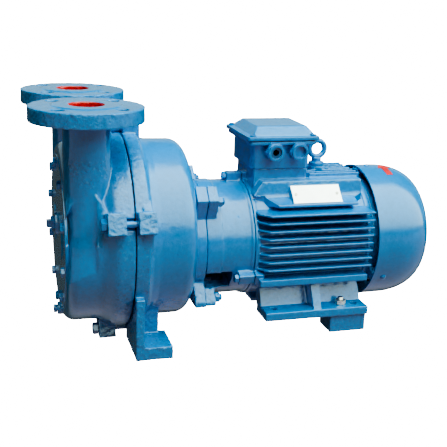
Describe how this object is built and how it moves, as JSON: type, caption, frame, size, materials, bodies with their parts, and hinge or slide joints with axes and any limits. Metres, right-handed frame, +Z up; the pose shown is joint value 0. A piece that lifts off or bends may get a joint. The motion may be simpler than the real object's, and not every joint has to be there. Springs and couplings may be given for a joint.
{
  "type": "liquid ring vacuum pump",
  "caption": "Close-coupled liquid ring vacuum pump with vertical flanged suction and discharge ports, an eccentric impeller casing on feet, and a finned fan-cooled motor with a terminal box.",
  "frame": {"origin": "middle of the bounding box's bottom face, on the floor under the shaft axis", "axes": "+X along the shaft from the pump end to the fan end, +Z up"},
  "size_m": [0.6524, 0.349, 0.375],
  "materials": {
    "cast_paint": "glossy paint over rough cast iron",
    "fastener_paint": "glossy paint over steel fasteners",
    "sheet_paint": "glossy paint on pressed sheet steel",
    "gland_paint": "glossy paint over brass fittings",
    "zinc_steel": "zinc plated",
    "steel": "machined and ground",
    "lamination": "stacked sheets",
    "bronze": "cast bronze",
    "brass": "turned",
    "winding": "varnished copper wire",
    "rubber": "moulded",
    "seal_face": "lapped carbon",
    "valve_plastic": "fluoropolymer sheet",
    "fan_plastic": "moulded",
    "board": "moulded",
    "red_label": "printed film",
    "white_plate": "white enamelled sheet"
  },
  "bodies": {
    "pump": {"port_cover": "cast_paint", "end_plate": "cast_paint", "end_plate_gasket": "rubber", "end_plate_bolts": "fastener_paint", "service_plug": "fastener_paint", "drain_plug": "fastener_paint", "port_plate": "steel", "flap_clamp": "steel", "cover_gasket": "rubber", "pump_casing": "cast_paint", "casing_bolts": "fastener_paint", "seal_seat": "seal_face", "flange_bolts": "fastener_paint", "drive_end_shield": "cast_paint", "shield_screws": "fastener_paint", "front_bearing_outer": "steel", "rear_bearing_outer": "steel", "motor_frame": "cast_paint", "stator_core": "lamination", "stator_winding": "winding", "fan_end_shield": "cast_paint", "fan_shield_screws": "zinc_steel", "fan_cover": "sheet_paint", "fan_cover_screws": "fastener_paint", "rotation_arrow": "red_label", "terminal_box": "cast_paint", "terminal_box_gasket": "rubber", "terminal_box_lid": "cast_paint", "lid_screws": "fastener_paint", "terminal_board": "board", "terminal_studs": "brass", "cable_gland": "gland_paint", "gland_insert": "rubber", "blanking_plug": "gland_paint", "lifting_eye": "fastener_paint", "nameplate": "white_plate", "nameplate_rivets": "zinc_steel", "near_support_block": "cast_paint", "far_support_block": "cast_paint", "support_block_bolts": "zinc_steel"},
    "rotor": {"shaft": "steel", "impeller": "bronze", "impeller_nut": "steel", "impeller_washer": "steel", "impeller_key": "steel", "seal_rotor": "seal_face", "slinger": "rubber", "rotor_core": "lamination", "front_bearing_inner": "steel", "rear_bearing_inner": "steel", "bearing_balls": "steel", "fan": "fan_plastic", "fan_clip": "steel"},
    "valve": {"discharge_flap": "valve_plastic"}
  },
  "joints": [
    {"name": "shaft_spin", "type": "hinge", "parent": "pump", "child": "rotor", "pos_m": [0, 0, 0.142], "axis": [1, 0, 0], "continuous": true},
    {"name": "flap_lift", "type": "hinge", "parent": "pump", "child": "valve", "pos_m": [-0.19295, 0.099, 0.148], "axis": [0, 0, -1], "range_deg": [0, 12], "stiffness_Nm_per_rad": 0.05}
  ]
}
